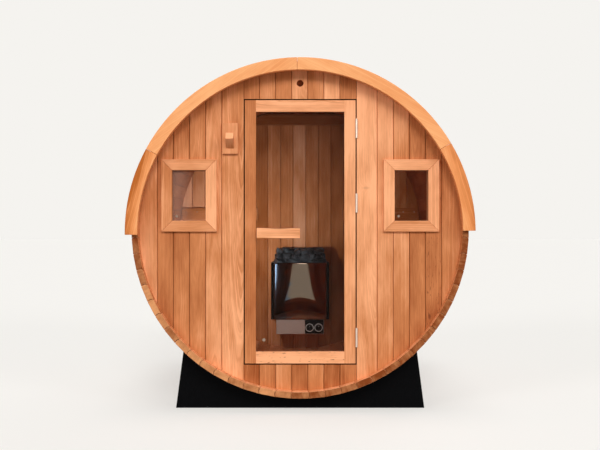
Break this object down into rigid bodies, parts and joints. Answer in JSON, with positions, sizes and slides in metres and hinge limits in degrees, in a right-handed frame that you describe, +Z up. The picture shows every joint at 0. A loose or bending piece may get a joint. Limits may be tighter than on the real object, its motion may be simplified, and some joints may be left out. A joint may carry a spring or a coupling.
{
  "type": "barrel sauna",
  "caption": "Barrel-shaped wooden sauna lying on black cradles, with a glazed hinged door, small square-cased windows and a wall-hung electric stone heater inside.",
  "frame": {"origin": "on the ground, under the middle of the barrel", "axes": "+Z up, -Y out of the front door, +X to the right when facing the front; the barrel's axis lies along Y, 0.994 m up"},
  "size_m": [1.8879, 1.905, 1.9239],
  "materials": {
    "cedar": "planed and oiled red cedar",
    "trim_cedar": "planed and oiled red cedar, a little brighter",
    "black_plastic": "black, fine grained",
    "stainless_steel": "brushed to bright",
    "hinge_steel": "satin",
    "tinted_glass": "bronze tinted, toughened",
    "black_metal": "satin black",
    "stone": "rough split"
  },
  "bodies": {
    "barrel": {"staves_right": "cedar", "staves_upper_right": "cedar", "staves_top": "cedar", "staves_upper_left": "cedar", "staves_left": "cedar", "staves_lower_left": "cedar", "staves_bottom": "cedar", "staves_lower_right": "cedar", "front_wall_left": "cedar", "front_wall_right": "cedar", "front_wall_over_door": "cedar", "front_wall_under_door": "cedar", "rear_wall_left": "cedar", "rear_wall_middle": "cedar", "rear_wall_right": "cedar", "rear_wall_battens": "cedar", "front_trim_upper_left": "trim_cedar", "front_trim_upper_right": "trim_cedar", "front_trim_lower_left": "trim_cedar", "front_trim_lower_right": "trim_cedar", "rear_trim_upper_left": "trim_cedar", "rear_trim_upper_right": "trim_cedar", "rear_trim_lower_left": "trim_cedar", "rear_trim_lower_right": "trim_cedar", "front_cradle": "black_plastic", "rear_cradle": "black_plastic", "steel_bands": "stainless_steel", "door_stops": "cedar", "frame_hinge_leaves": "hinge_steel", "left_window_casing": "cedar", "right_window_casing": "cedar", "window_panes": "tinted_glass", "coat_hook": "cedar", "heater_body": "black_metal", "heater_front_cover": "stainless_steel", "heater_control_panel": "black_metal", "heater_stones": "stone", "heater_brackets": "black_metal"},
    "door": {"door_left_stile": "cedar", "door_right_stile": "cedar", "door_top_rail": "cedar", "door_bottom_rail": "cedar", "door_glass": "tinted_glass", "door_handle": "cedar", "door_hinge_leaves": "hinge_steel"}
  },
  "joints": [
    {"name": "door_hinge", "type": "hinge", "parent": "barrel", "child": "door", "pos_m": [0.308, -0.8725, 0.994], "axis": [0, 0, 1], "range_deg": [0, 110]}
  ]
}
